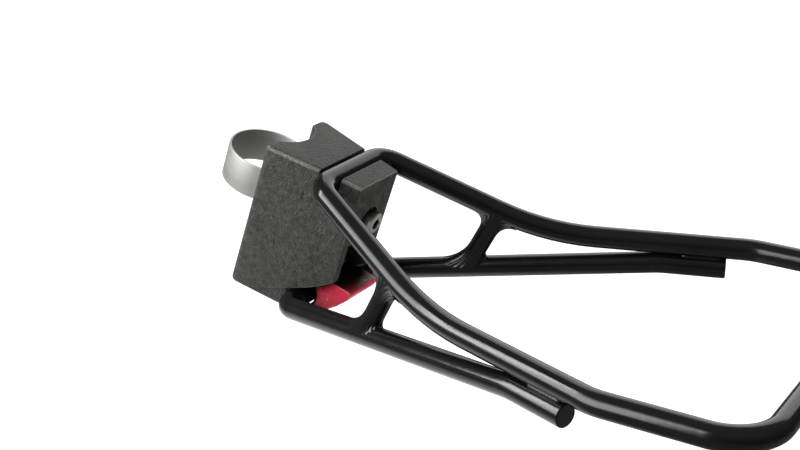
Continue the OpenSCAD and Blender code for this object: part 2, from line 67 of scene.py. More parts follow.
# The floor is a white sheet below the rod frame. The camera sees it white, and the lamps still throw
# the object's shadow on it. In reflections it is a bright pool under the mount, and dim further out.
floor_z = -0.14
floor_half = 3
sheet_lit = (0.50, 0.50, 0.50, 1)
sheet_mirrored = (0.03, 0.03, 0.03, 1)
sheet_strength = 0.87
pool_near = 0.16
pool_far = 0.25
pool_bright = 1.65
pool_dim = 0.165


def feed(links, socket, term):
    """Link an output into a socket, or set the socket to a plain number, vector or colour."""
    if isinstance(term, bpy.types.NodeSocket):
        links.new(term, socket)
    else:
        socket.default_value = term


def remap(tree, links, value, low, high, to_low, to_high):
    """Carry a value from one range to another, and hold it at the ends."""
    span = tree.new("ShaderNodeMapRange")
    for label, term in (("Value", value), ("From Min", low), ("From Max", high), ("To Min", to_low),
                        ("To Max", to_high)):
        feed(links, span.inputs[label], term)
    return span.outputs["Result"]


def worked(tree, links, kind, operation, *terms):
    """The number that a Math or VectorMath node works out from its terms."""
    step = tree.new("ShaderNode" + kind)
    step.operation = operation
    for socket, term in zip(step.inputs, terms):
        feed(links, socket, term)
    return step.outputs["Value"]


def mixed(tree, links, kind, factor, a, b):
    """The mix from a to b by the factor. kind is FLOAT for numbers and RGBA for colours."""
    mix = tree.new("ShaderNodeMix")
    mix.data_type = kind
    for label, term in (("Factor", factor), ("A", a), ("B", b)):
        feed(links, mix.inputs[label], term)
    return mix.outputs["Result"]


sheet_white = bpy.data.materials.new("floor_white")
sheet_white.use_nodes = True
sheet_tree, sheet_links = sheet_white.node_tree.nodes, sheet_white.node_tree.links
sheet_tree.clear()
sheet_rays = sheet_tree.new("ShaderNodeLightPath").outputs
sheet_place = sheet_tree.new("ShaderNodeTexCoord").outputs["Object"]
sheet_far = worked(sheet_tree, sheet_links, "VectorMath", "LENGTH", sheet_place)
sheet_pool = remap(sheet_tree, sheet_links, sheet_far, pool_near, pool_far, pool_bright, pool_dim)
sheet_sum = sheet_rays["Is Camera Ray"]
for kind in ("Is Glossy Ray", "Is Transmission Ray"):
    sheet_sum = worked(sheet_tree, sheet_links, "Math", "MULTIPLY_ADD", sheet_rays[kind], sheet_pool,
                       sheet_sum)
sheet_tone = mixed(sheet_tree, sheet_links, "RGBA", sheet_rays["Is Glossy Ray"], sheet_lit, sheet_mirrored)
sheet_diffuse = sheet_tree.new("ShaderNodeBsdfDiffuse")
sheet_links.new(sheet_tone, sheet_diffuse.inputs["Color"])
sheet_glow = sheet_tree.new("ShaderNodeEmission")
sheet_links.new(worked(sheet_tree, sheet_links, "Math", "MULTIPLY", sheet_sum, sheet_strength),
                sheet_glow.inputs["Strength"])
sheet_add = sheet_tree.new("ShaderNodeAddShader")
sheet_links.new(sheet_diffuse.outputs[0], sheet_add.inputs[0])
sheet_links.new(sheet_glow.outputs[0], sheet_add.inputs[1])
sheet_links.new(sheet_add.outputs[0], sheet_tree.new("ShaderNodeOutputMaterial").inputs["Surface"])
floor_mesh = bpy.data.meshes.new("floor")
floor_corners = [(x * floor_half, y * floor_half, floor_z) for x, y in ((-1, -1), (1, -1), (1, 1), (-1, 1))]
floor_mesh.from_pydata(floor_corners, [], [(0, 1, 2, 3)])
floor_mesh.materials.append(sheet_white)
floor = bpy.data.objects.new("floor", floor_mesh)
bpy.context.scene.collection.objects.link(floor)

# The room is white to the camera and dim round the mount: its light falls off from front to rear,
# and is strongest straight above.
room_front = 0.12
room_rear = 0.06
room_above = 0.24
studio = bpy.data.worlds.new("studio")
bpy.context.scene.world = studio
studio.use_nodes = True
room_tree, room_links = studio.node_tree.nodes, studio.node_tree.links
room_tree.clear()
room_way = room_tree.new("ShaderNodeSeparateXYZ")
room_links.new(room_tree.new("ShaderNodeTexCoord").outputs["Generated"], room_way.inputs[0])
room_level = remap(room_tree, room_links, room_way.outputs["X"], -0.3, 0.5, room_front, room_rear)
room_light = remap(room_tree, room_links, room_way.outputs["Z"], 0.35, 0.9, room_level, room_above)
room_mix = room_tree.new("ShaderNodeMixShader")
room_links.new(room_tree.new("ShaderNodeLightPath").outputs["Is Camera Ray"], room_mix.inputs[0])
for slot_number, strength in ((1, room_light), (2, 1.0)):
    background = room_tree.new("ShaderNodeBackground")
    background.inputs["Color"].default_value = (1, 1, 1, 1)
    feed(room_links, background.inputs["Strength"], strength)
    room_links.new(background.outputs[0], room_mix.inputs[slot_number])
room_links.new(room_mix.outputs[0], room_tree.new("ShaderNodeOutputWorld").inputs["Surface"])

# Five softboxes light the mount: two that overlap and a narrow bright one on the left, one on the
# right, and a fill behind it that shows in no reflection.
lamp_target = (0.06, 0, 0.03)


def softbox(name, azimuth, elevation, distance, width, height, roll, brightness, mirrored_too=True):
    """An area lamp that faces the mount, rolled about its line to it. Its power is brightness times pi
    times its area, so that its face has that brightness against a white of 1."""
    az, el = np.radians((azimuth, elevation))
    way = Vector((np.cos(el) * np.cos(az), np.cos(el) * np.sin(az), np.sin(el)))
    lamp = bpy.data.lights.new(name, "AREA")
    lamp.shape = "RECTANGLE"
    lamp.size = width
    lamp.size_y = height
    lamp.energy = brightness * np.pi * width * height
    box = bpy.data.objects.new(name, lamp)
    box.location = Vector(lamp_target) + way * distance
    facing = way.to_track_quat("Z", "Y") @ Quaternion((0, 0, 1), np.radians(roll))
    box.rotation_euler = facing.to_euler()
    box.visible_glossy = mirrored_too
    bpy.context.scene.collection.objects.link(box)


softbox("softbox_left", azimuth=-126, elevation=9, distance=0.90, width=0.78, height=0.98, roll=17,
        brightness=2.8)
softbox("softbox_core", azimuth=-126, elevation=9, distance=0.89, width=0.74, height=0.62, roll=17,
        brightness=3.6)
softbox("softbox_edge", azimuth=-154, elevation=13, distance=0.88, width=0.11, height=0.54, roll=17,
        brightness=14.0)
softbox("softbox_far", azimuth=110, elevation=22, distance=1.1, width=1.32, height=0.98, roll=0,
        brightness=1.55)
softbox("fill_rear", azimuth=15, elevation=10, distance=1.1, width=0.8, height=0.6, roll=0,
        brightness=6.0, mirrored_too=False)

# Housing: one black moulding of glass-filled nylon with a fine pebbled skin. It has the half-round
# seat that the band closes, the slot and the hook for the upper crossbar and the lever's hollow.
# Its edges are softened by the mould, and rubbed a little smoother than its faces.
housing_edge = 0.00035
pebble_scale = 2200.0
pebble_round = 0.6
pebble_grit = 900.0
grit_share = 1.2
unstretched = (1.0, 1.0, 1.0)


def sharp_copy(node, name, doubled=2e-6, flat=0.6):
    """A copy of a CAD node's mesh with its doubled points merged, and its triangles joined again where
    they lie flat to within an angle in degrees."""
    mesh = nodes[node].data.copy()
    mesh.name = name
    work = bmesh.new()
    work.from_mesh(mesh)
    bmesh.ops.remove_doubles(work, verts=work.verts, dist=doubled)
    bmesh.ops.dissolve_limit(work, angle_limit=np.radians(flat), verts=work.verts, edges=work.edges)
    work.to_mesh(mesh)
    work.free()
    mesh.materials.clear()
    piece = bpy.data.objects.new(name, mesh)
    bpy.context.scene.collection.objects.link(piece)
    return piece


def soften(piece, width, angle=28.0, segments=3):
    """Round the edges that are sharper than the angle, and shade what is left smoothly."""
    bevel = piece.modifiers.new("soft edges", "BEVEL")
    bevel.width = width
    bevel.segments = segments
    bevel.limit_method = "ANGLE"
    bevel.angle_limit = np.radians(angle)
    bevel.harden_normals = True
    piece.data.shade_smooth()


def noise(tree, links, place, scale, detail, stretch=None, grain=0.5):
    """A Noise Texture on the place, with its pattern stretched where factors are given. grain is the
    share of each finer octave."""
    if stretch:
        mapping = tree.new("ShaderNodeMapping")
        links.new(place, mapping.inputs["Vector"])
        feed(links, mapping.inputs["Scale"], stretch)
        place = mapping.outputs["Vector"]
    texture = tree.new("ShaderNodeTexNoise")
    for label, term in (("Vector", place), ("Scale", scale), ("Detail", detail), ("Roughness", grain)):
        feed(links, texture.inputs[label], term)
    return texture.outputs["Fac"]


def new_group(name, inputs, outputs):
    """A shader node group with its inputs (name, default) and outputs (name). An input whose default
    has three numbers is a vector, and so is the output called Round."""
    group = bpy.data.node_groups.new(name, "ShaderNodeTree")
    for label, value in inputs:
        kind = "NodeSocketVector" if isinstance(value, tuple) else "NodeSocketFloat"
        group.interface.new_socket(label, in_out="INPUT", socket_type=kind).default_value = value
    for label in outputs:
        kind = "NodeSocketVector" if label == "Round" else "NodeSocketFloat"
        group.interface.new_socket(label, in_out="OUTPUT", socket_type=kind)
    ends = group.nodes.new("NodeGroupInput").outputs, group.nodes.new("NodeGroupOutput").inputs
    return group, group.nodes, group.links, *ends


def placed(tree, group, **values):
    """The outputs of a group that is placed in a material with its own values."""
    node = tree.new("ShaderNodeGroup")
    node.node_tree = group
    for label, value in values.items():
        node.inputs[label].default_value = value
    return node.outputs


# Mottling, for every finish: a cloudy pattern between 0 and 1, in the piece's own coordinates.
mottling, mottle_tree, mottle_links, mottle_in, mottle_out = new_group(
    "mottling", [("Scale", 300.0), ("Detail", 4.0), ("Stretch", unstretched)], ["Cloud"])
mottle_place = mottle_tree.new("ShaderNodeTexCoord").outputs["Object"]
mottle_noise = noise(mottle_tree, mottle_links, mottle_place, mottle_in["Scale"], mottle_in["Detail"],
                     mottle_in["Stretch"], grain=0.7)
mottle_links.new(remap(mottle_tree, mottle_links, mottle_noise, 0.34, 0.66, 0.0, 1.0), mottle_out["Cloud"])

# Edge wear and painted highlight, for every finish: the angle between the surface and the same
# surface with rounded edges, broken up by noise; the worn colour there is partly wear and partly a
# painted highlight. Crest adds the faces that are rounded towards the top, as a painted highlight.
wear_none = 0.995
wear_full = 0.88
edge_wear_and_highlight, wear_tree, wear_links, wear_in, wear_out = new_group(
    "edge_wear_and_highlight", [("Reach", 0.0006), ("Patchiness", 0.5), ("Crest", 0.0)], ["Wear", "Round"])
wear_place = wear_tree.new("ShaderNodeTexCoord").outputs["Object"]
wear_bevel = wear_tree.new("ShaderNodeBevel")
wear_bevel.samples = 6
wear_links.new(wear_in["Reach"], wear_bevel.inputs["Radius"])
wear_round = wear_bevel.outputs["Normal"]
wear_flat = wear_tree.new("ShaderNodeNewGeometry").outputs["Normal"]
wear_cosine = worked(wear_tree, wear_links, "VectorMath", "DOT_PRODUCT", wear_round, wear_flat)
wear_edge = remap(wear_tree, wear_links, wear_cosine, wear_none, wear_full, 0.0, 1.0)
wear_noise = noise(wear_tree, wear_links, wear_place, 260.0, 3.0)
wear_patch = remap(wear_tree, wear_links, wear_noise, 0.35, 0.62, 0.0, 1.0)
wear_keep = mixed(wear_tree, wear_links, "FLOAT", wear_in["Patchiness"], 1.0, wear_patch)
edge_highlight_and_wear_mask = worked(wear_tree, wear_links, "Math", "MULTIPLY", wear_edge, wear_keep)
wear_way = wear_tree.new("ShaderNodeSeparateXYZ")
wear_links.new(wear_flat, wear_way.inputs[0])
wear_up = wear_way.outputs["Z"]
crest_highlight = wear_in["Crest"]
# Painted highlight on the faces rounded towards the top, whatever the light.
for low, high, to_low, to_high in ((0.15, 0.45, 0.0, 1.0), (0.80, 0.97, 1.0, 0.0)):
    crest_highlight = worked(wear_tree, wear_links, "Math", "MULTIPLY", crest_highlight,
                        remap(wear_tree, wear_links, wear_up, low, high, to_low, to_high))
wear_links.new(worked(wear_tree, wear_links, "Math", "MAXIMUM", edge_highlight_and_wear_mask, crest_highlight), wear_out["Wear"])
wear_links.new(wear_round, wear_out["Round"])


def finish(name, color, rough, mottle, metal=0.0, worn_and_highlight=None, rough_spread=0.05, relief=None,
           reach=0.0006, wear_rough=None, ior=1.5, painted_shade=0.0, shade_reach=0.022, crest=0.0,
           round_edges=False):
    """A material with mottled colour and roughness, worn edges, and a bump.

    worn is the colour at rubbed edges, where it is partly wear and partly a painted highlight, and
    at the crests, where it is a painted highlight. mottle is (scale, detail, stretch, share) of the
    noise that lightens and darkens the colour. relief is (height, distance) of the bump, height a
    function that adds the pattern's nodes and gives back its output. grime is how much painted shade
    darkens the colour and the reflection in hollows, more on faces that look upwards, and shade_reach
    how near the hollows' walls are. crest is how much painted highlight lightens the faces rounded
    towards the top. round_edges shades the edges as rounded by reach.
    """
    mat = bpy.data.materials.new(name)
    mat.use_nodes = True
    tree, links = mat.node_tree.nodes, mat.node_tree.links
    shader = tree["Principled BSDF"]
    shader.inputs["Metallic"].default_value = metal
    shader.inputs["IOR"].default_value = ior
    scale, detail, stretch, share = mottle
    cloud = placed(tree, mottling, Scale=scale, Detail=detail, Stretch=stretch)["Cloud"]
    edge_outputs = placed(tree, edge_wear_and_highlight, Reach=reach, Crest=crest)
    darker = (*(c * (1 - share) for c in color), 1)
    lighter = (*(min(c * (1 + share), 1) for c in color), 1)
    tint = mixed(tree, links, "RGBA", cloud, darker, lighter)
    # Rubbed edges and crests take the worn colour: partly wear, and partly a painted highlight.
    tint = mixed(tree, links, "RGBA", edge_outputs["Wear"], tint, (*(worn_and_highlight or color), 1))
    # Painted shade: ambient occlusion, made stronger on faces that look upwards, darkens the colour towards
    # black and lowers the reflection in hollows and on tops.
    if painted_shade:
        hollow = tree.new("ShaderNodeAmbientOcclusion")
        hollow.samples = 8
        hollow.inputs["Distance"].default_value = shade_reach
        upward = tree.new("ShaderNodeSeparateXYZ")
        links.new(tree.new("ShaderNodeNewGeometry").outputs["Normal"], upward.inputs[0])
        upward_shade = remap(tree, links, upward.outputs["Z"], 0.1, 0.8, 1.0, 0.55)
        shade = worked(tree, links, "Math", "MULTIPLY", hollow.outputs["AO"], upward_shade)
        unshaded_share = remap(tree, links, shade, 0.40, 0.62, 1 - painted_shade, 1.0)
        tint = mixed(tree, links, "RGBA", unshaded_share, (0.004, 0.004, 0.004, 1), tint)
        links.new(remap(tree, links, unshaded_share, 0.0, 1.0, 0.0, 0.5), shader.inputs["Specular IOR Level"])
    links.new(tint, shader.inputs["Base Color"])
    sheen = remap(tree, links, cloud, 0.0, 1.0, rough - rough_spread, rough + rough_spread)
    polish = rough if wear_rough is None else wear_rough
    links.new(mixed(tree, links, "FLOAT", edge_outputs["Wear"], sheen, polish), shader.inputs["Roughness"])
    if relief:
        height, distance = relief
        place = tree.new("ShaderNodeTexCoord").outputs["Object"]
        bump = tree.new("ShaderNodeBump")
        bump.inputs["Strength"].default_value = 1.0
        bump.inputs["Distance"].default_value = distance
        links.new(height(tree, links, place), bump.inputs["Height"])
        if round_edges:
            links.new(edge_outputs["Round"], bump.inputs["Normal"])
        links.new(bump.outputs["Normal"], shader.inputs["Normal"])
    return mat


def pebbles(tree, links, place):
    """Moulded pebble skin: rounded grains about 0.4 mm across, with finer grit over them."""
    cells = tree.new("ShaderNodeTexVoronoi")
    cells.feature = "SMOOTH_F1"
    cells.inputs["Scale"].default_value = pebble_scale
    cells.inputs["Smoothness"].default_value = pebble_round
    links.new(place, cells.inputs["Vector"])
    grit = noise(tree, links, place, pebble_grit, 4.0)
    return worked(tree, links, "Math", "MULTIPLY_ADD", grit, grit_share, cells.outputs["Distance"])


# The housing's edges are painted a lighter grey, partly wear and partly a painted highlight, and its fillets
# rounded towards the top take that grey as a painted highlight.
housing_plastic = finish("housing_plastic", (0.040, 0.040, 0.036), 0.44, (480.0, 8.0, unstretched, 0.75),
                         worn_and_highlight=(0.190, 0.190, 0.180), rough_spread=0.10, relief=(pebbles, 0.00042),
                         reach=0.0009, wear_rough=0.24, crest=1.0, ior=1.43, round_edges=True)
housing = sharp_copy("housing", "housing_moulding")
soften(housing, housing_edge)
housing.data.materials.append(housing_plastic)
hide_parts("housing")
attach(housing, "adapter")

# Clamp band: a strip of stainless steel, 13.2 by 0.8 mm, bent to a half circle. Each end leans in
# behind the seat, runs round a pin and is folded back against the strip. It is rolled to a satin
# grain along its length, and its cut edges are bright.
seat_r = 0.0143
band_w = 0.0132
band_t = 0.0008
band_mid_z = 0.0401
band_lean = np.radians(20.0)
loop_r = 0.00195
fold_l = 0.0045
pin_x = 0.0234
band_edge_r = 0.00028
shy = 0.00002


def arc(centre, radius, start, stop, steps):
    """Points of a circular arc in a plane: centre plus radius times (cos, sin) of evenly spaced angles."""
    turn = np.linspace(start, stop, steps + 1)
    return np.asarray(centre) + radius * np.stack([np.cos(turn), np.sin(turn)], axis=1)


def rounded_strip(width, thickness, edge_r, steps=4):
    """Outline of a flat strip: a rectangle whose four corners are quarter circles, counterclockwise."""
    across, high = thickness / 2 - edge_r, width / 2 - edge_r
    quarters = [arc((sx * across, sy * high), edge_r, a, a + np.pi / 2, steps)
                for sx, sy, a in ((1, 1, 0), (-1, 1, np.pi / 2), (-1, -1, np.pi), (1, -1, 1.5 * np.pi))]
    return np.concatenate(quarters)


def grid_faces(rows, count, closed):
    """Faces of a grid of points, row after row, whose rows run round. A closed grid also runs round
    from its last row to its first, and an open one ends with a flat face over each end."""
    i, j = np.meshgrid(np.arange(rows if closed else rows - 1), np.arange(count), indexing="ij")
    i, j = i.ravel(), j.ravel()
    i2, j2 = (i + 1) % rows, (j + 1) % count
    corners = [i * count + j, i * count + j2, i2 * count + j2, i2 * count + j]
    faces = np.stack(corners, axis=1).tolist()
    if not closed:
        faces += [list(range(count - 1, -1, -1)), list(range((rows - 1) * count, rows * count))]
    return faces


def carried(outline, points, side, up, closed, scale=None):
    """Vertices and faces of an outline carried along a path: at each point of the path, the outline's
    first number runs along side and its second along up. An open path gets a flat face at each end."""
    size = np.ones(len(points)) if scale is None else scale
    spread_out = outline[None, :, :1] * side[:, None] + outline[None, :, 1:] * up[:, None]
    verts = (points[:, None] + size[:, None, None] * spread_out).reshape(-1, 3)
    return verts, grid_faces(len(points), len(outline), closed)


def piece_of(name, parts, material, node, body):
    """A finished piece from (vertices, faces) parts: outward normals, smooth faces, and what it
    stands for and rides on. A piece with no body is left to be blended between two."""
    verts, faces, start = [], [], 0
    for part_verts, part_faces in parts:
        verts.append(part_verts)
        faces += [[k + start for k in face] for face in part_faces]
        start += len(part_verts)
    mesh = bpy.data.meshes.new(name)
    mesh.from_pydata(np.concatenate(verts).tolist(), [], faces)
    work = bmesh.new()
    work.from_mesh(mesh)
    bmesh.ops.recalc_face_normals(work, faces=work.faces)
    work.to_mesh(mesh)
    work.free()
    mesh.shade_smooth()
    mesh.set_sharp_from_angle(angle=np.radians(38))
    mesh.materials.append(material)
    piece = bpy.data.objects.new(name, mesh)
    bpy.context.scene.collection.objects.link(piece)
    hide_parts(node)
    if body:
        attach(piece, body)
    return piece


band_r = seat_r + band_t / 2
leave = np.array([band_r * np.sin(band_lean), band_r * np.cos(band_lean)])
along = np.array([np.cos(band_lean), -np.sin(band_lean)])
outward = np.array([np.sin(band_lean), np.cos(band_lean)])
end_l = (pin_x - loop_r * np.sin(band_lean) - leave[0]) / np.cos(band_lean)
fold_r = loop_r - band_t
loop_centre = leave + along * end_l + outward * loop_r
pin_y = loop_centre[1]
band_angle = np.arctan2(outward[1], outward[0])
# The path from the fold's end, round the pin, along the strip and round the front of the seat.
# Straight stretches stop shy of the arcs that they run into.
fold_centre = loop_centre - along * (loop_r + fold_r)
half = np.concatenate([
    fold_centre - along * np.linspace(fold_l - fold_r, shy, 6)[:, None] - outward * fold_r,
    arc(fold_centre, fold_r, band_angle - np.pi, band_angle - np.pi / 2, 8),
    arc(loop_centre, loop_r, band_angle + np.pi / 2, band_angle - np.pi, 40)[1:],
    leave + along * np.linspace(end_l, shy, 12)[1:, None],
    arc((0, 0), band_r, np.pi / 2 - band_lean, np.pi, 56)])
strip = np.concatenate([half, half[-2::-1] * (1, -1)])
run = np.gradient(strip, axis=0)
run /= np.linalg.norm(run, axis=1)[:, None]
strip_xyz = np.column_stack([strip, np.full(len(strip), band_mid_z)])
strip_side = np.column_stack([run[:, 1], -run[:, 0], np.zeros(len(run))])
strip_up = np.tile((0.0, 0.0, 1.0), (len(strip), 1))


def rolled(tree, links, place):
    """Rolling grain: fine lines that run level round the strip."""
    return noise(tree, links, place, 900.0, 3.0, (0.04, 0.04, 6.0))


band_steel = finish("band_steel", (0.54, 0.54, 0.52), 0.54, (140.0, 4.0, (0.15, 0.15, 4.0), 0.05),
                    metal=1.0, worn_and_highlight=(0.86, 0.85, 0.83), rough_spread=0.05, relief=(rolled, 0.000008),
                    reach=0.0003, wear_rough=0.18)
band_steel.node_tree.nodes["Principled BSDF"].inputs["Anisotropic"].default_value = 0.15
band_outline = rounded_strip(band_w, band_t, band_edge_r)
piece_of("band_strip", [carried(band_outline, strip_xyz, strip_side, strip_up, False)],
         band_steel, "clamp_band", "adapter")

# Draw block and its two pins: the block is a zinc plated steel bar with a threaded hole, which pulls
# both loops of the band rearwards. The pins are ground steel, pressed into its flanges.
block_edge = 0.00025
band_pin_r = 0.0015
pin_chamfer = 0.0003
zinc_steel = finish("zinc_steel", (0.60, 0.60, 0.60), 0.34, (420.0, 5.0, unstretched, 0.10), metal=1.0,
                    worn_and_highlight=(0.75, 0.75, 0.75), rough_spread=0.08, reach=0.0005, wear_rough=0.25)
draw_block = sharp_copy("draw_block", "draw_block_plated")
soften(draw_block, block_edge)
draw_block.data.materials.append(zinc_steel)
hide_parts("draw_block")
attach(draw_block, "adapter")


def turned(rows, axis_point, axis, start, count=96):
    """A turned body: each row is (distance along the axis, radius), the radius a number or an array
    over the angles. Row points are axis point plus distance along it plus radius times the unit circle
    across it. The first and last rows are closed by flat faces."""
    axis = np.asarray(axis, float)
    start = np.asarray(start, float)
    turn = np.arange(count) * 2 * np.pi / count
    ring = np.cos(turn)[:, None] * start + np.sin(turn)[:, None] * np.cross(axis, start)
    dist, reach = (np.array([np.broadcast_to(np.asarray(row[k], float), count) for row in rows])
                   for k in (0, 1))
    verts = np.asarray(axis_point) + dist[:, :, None] * axis + reach[:, :, None] * ring
    return verts.reshape(-1, 3), grid_faces(len(rows), count, False)


def pin_rows(length, radius, chamfer):
    """Rows of a straight pin with small chamfers at its ends."""
    return [(0, radius - chamfer), (chamfer, radius), (length - chamfer, radius), (length, radius - chamfer)]


def ground(tree, links, place):
    """Grinding marks: fine lines across the height."""
    return noise(tree, links, place, 1500.0, 2.0, (0.1, 0.1, 3.0))


pin_steel = finish("pin_steel", (0.66, 0.66, 0.67), 0.22, (300.0, 3.0, (0.2, 0.2, 3.0), 0.05),
                   metal=1.0, worn_and_highlight=(0.8, 0.8, 0.8), rough_spread=0.05, relief=(ground, 0.000004),
                   reach=0.0003, wear_rough=0.15)
for side, node in ((-1, "band_pin_left"), (1, "band_pin_right")):
    low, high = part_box(node)
    rows = pin_rows(high[2] - low[2], band_pin_r, pin_chamfer)
    piece_of(node + "_ground", [turned(rows, (pin_x, side * pin_y, low[2]), (0, 0, 1), (1, 0, 0))],
             pin_steel, node, "adapter")

# Clamp screw and washer: an M5 socket head screw of black oxide steel, 25 mm under its knurled head,
# turned in from the rear over a zinc plated washer that lies in a recess of the hook.
screw_z = 0.0428
head_face_x = 0.0456
head_r = 0.00425
head_h = 0.0050
shank_l = 0.025
shank_tip_l = 0.0006
shank_tip_r = 0.0017
thread_r = 0.00248
thread_depth = 0.00045
thread_stop = 0.0046
thread_step = 0.0002
pitch = 0.0008
crown_edge = 0.0001
knurl_low = 0.0006
knurl_high = 0.0013
knurl_depth = 0.00009
knurls = 48
socket_half = 0.0020
socket_mouth = 0.0003
socket_flare = 0.00012
socket_floor = 0.0024
drill_r = 0.0009
drill_h = 0.0004
ring_n = 144
turn = np.arange(ring_n) * 2 * np.pi / ring_n
hexagon = socket_half / np.cos((turn + np.pi / 6) % (np.pi / 3) - np.pi / 6)
mouth = np.maximum(hexagon + socket_flare, socket_half * 1.16)
knurl = head_r - knurl_depth + knurl_depth * np.cos(turn * knurls)


def thread_radius(dist):
    """The thread's surface: a wave between crest and root, by the part of a pitch left over from the
    distance along the screw less the part of a turn round it."""
    phase = (dist / pitch - turn / (2 * np.pi)) % 1.0
    return thread_r - thread_depth * np.clip(1.6 * np.abs(2 * phase - 1) - 0.3, 0, 1)


tip = -shank_l + shank_tip_l
crown = head_h - knurl_high + 5 * crown_edge
screw_rows = [(-shank_l, shank_tip_r), (tip, thread_radius(tip) - 0.0003)]
screw_rows += [(d, thread_radius(d)) for d in np.arange(tip + thread_step, -thread_stop, pitch / 8)]
screw_rows += [(thread_step - thread_stop, thread_r), (-0.0002, thread_r), (0.0, thread_r + 0.0002),
               (0.0, head_r - 0.0004), (0.0002, head_r - 0.0002), (knurl_low, knurl),
               (2 * knurl_low, knurl), (head_h - knurl_high, knurl), (crown, head_r - crown_edge),
               (crown + 0.0003, head_r - crown_edge), (head_h - 0.0002, head_r - 0.00025),
               (head_h, head_r - 0.0007), (head_h, mouth), (head_h - socket_mouth, hexagon),
               (head_h - socket_floor, hexagon), (head_h - socket_floor - drill_h, drill_r)]
# The screw's colour carries painted shade: it is darkened towards black in its socket and close hollows.
screw_steel = finish("screw_steel", (0.42, 0.42, 0.40), 0.42, (900.0, 6.0, unstretched, 0.45), metal=0.5,
                     worn_and_highlight=(0.62, 0.61, 0.59), rough_spread=0.08, reach=0.0004, wear_rough=0.25,
                     painted_shade=0.95, shade_reach=0.004)
screw_parts = [turned(screw_rows, (head_face_x, 0, screw_z), (1, 0, 0), (0, 0, 1), ring_n)]
piece_of("clamp_screw_turned", screw_parts, screw_steel, "clamp_screw", "adapter")

washer_r = 0.0050
washer_t = 0.0010
washer_hole_r = 0.00265
washer_edge = 0.0002
washer_rows = [(0, washer_hole_r), (0, washer_r - washer_edge), (washer_edge, washer_r),
               (washer_t - washer_edge, washer_r), (washer_t, washer_r - washer_edge),
               (washer_t, washer_hole_r + washer_edge), (washer_t - washer_edge, washer_hole_r),
               (0, washer_hole_r)]
# The washer's last row lies on its first, so the two end faces over its hole are left out
washer_verts, washer_faces = turned(washer_rows, (head_face_x - washer_t, 0, screw_z), (1, 0, 0), (0, 0, 1))
piece_of("washer_stamped", [(washer_verts, washer_faces[:-2])],
         zinc_steel, "screw_washer", "adapter")

# Release lever: a moulded catch of glossy red acetal. Its claw holds the lower crossbar, its boss
# turns on a 4 mm pin, and its pad is lifted to let the crossbar go.
lever_edge = 0.0007
eject_x = 0.0447
eject_z = 0.0103
eject_r = 0.0012
eject_rim = 0.00025
eject_depth = 2.5


def flow(tree, links, place):
    """Flow marks of the moulding, a slow waviness of the gloss, and the round mark of an ejector pin:
    the distance from the mark's middle, in the side view, passes from low to high at its radius."""
    waves = noise(tree, links, place, 130.0, 2.0, (0.5, 1.0, 1.0))
    beside = tree.new("ShaderNodeVectorMath")
    beside.operation = "MULTIPLY_ADD"
    for socket, term in zip(beside.inputs, (place, (1, 0, 1), (-eject_x, 0, -eject_z))):
        feed(links, socket, term)
    far_off = worked(tree, links, "VectorMath", "LENGTH", beside.outputs[0])
    mark = remap(tree, links, far_off, eject_r - eject_rim, eject_r, 0.0, eject_depth)
    return worked(tree, links, "Math", "ADD", waves, mark)


# The lever's colour carries painted shade: it is darkened nearly to black deep in the housing's hollow, most
# on faces that look upwards. Its lighter edges are partly a painted highlight.
lever_plastic = finish("lever_plastic", (0.56, 0.03, 0.06), 0.26, (160.0, 3.0, unstretched, 0.06),
                       worn_and_highlight=(0.66, 0.10, 0.12), rough_spread=0.05, relief=(flow, 0.00008), reach=0.0010,
                       wear_rough=0.22, painted_shade=1.0, round_edges=True)
lever = sharp_copy("release_lever", "lever_moulding")
soften(lever, lever_edge)
lever.data.materials.append(lever_plastic)
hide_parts("release_lever")
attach(lever, "release_lever")

# Lever pin: a ground steel pin through both side walls, put in from the right.
lever_pin_r = 0.0020
pin_low, pin_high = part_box("lever_pin")
pin_middle_x, _, pin_middle_z = ((a + b) / 2 for a, b in zip(pin_low, pin_high))
lever_pin_rows = pin_rows(pin_high[1] - pin_low[1], lever_pin_r, pin_chamfer)
lever_pin_end = (pin_middle_x, pin_low[1], pin_middle_z)
piece_of("lever_pin_ground", [turned(lever_pin_rows, lever_pin_end, (0, 1, 0), (0, 0, 1))],
         pin_steel, "lever_pin", "adapter")

# Lever spring: a torsion spring of drawn wire round the pin, just under four turns. One leg rests in
# the lever and the other against the roof of the hollow, so its coils turn with the lever at one end.
pivot = np.array([0.036, 0, 0.017])
coil_r = 0.0031
wire_r = 0.00045
coil_start = np.radians(70.0)
coil_turn = np.radians(360.0 * 4 - 30)
coil_w = 0.0066 - 0.0016
coil_rise = coil_w / coil_turn
coil_points = 190
rest_leg = 0.007
rest_points = 9
wall_leg = 0.0099
wall_points = 12


def round_outline(radius, sides):
    """Points of a circle."""
    return arc((0, 0), radius, 0, 2 * np.pi * (1 - 1 / sides), sides - 1)


turns = np.linspace(0, coil_turn, coil_points)
wind = np.concatenate([[0] * rest_points, turns[1:-1], [coil_turn] * wall_points])
leg = np.concatenate([-np.linspace(rest_leg, 0, rest_points), np.zeros(coil_points - 2),
                      np.linspace(0, wall_leg, wall_points)])
heading = wind + coil_start
outwards = np.column_stack([np.cos(heading), np.zeros(len(heading)), np.sin(heading)])
forwards = np.column_stack([-np.sin(heading), np.zeros(len(heading)), np.cos(heading)])
wire = pivot + coil_r * outwards + leg[:, None] * forwards
wire[:, 1] += coil_rise * (wind - coil_turn / 2)


def drawn(tree, links, place):
    """Drawing marks, much finer than the wire."""
    return noise(tree, links, place, 2500.0, 2.0)


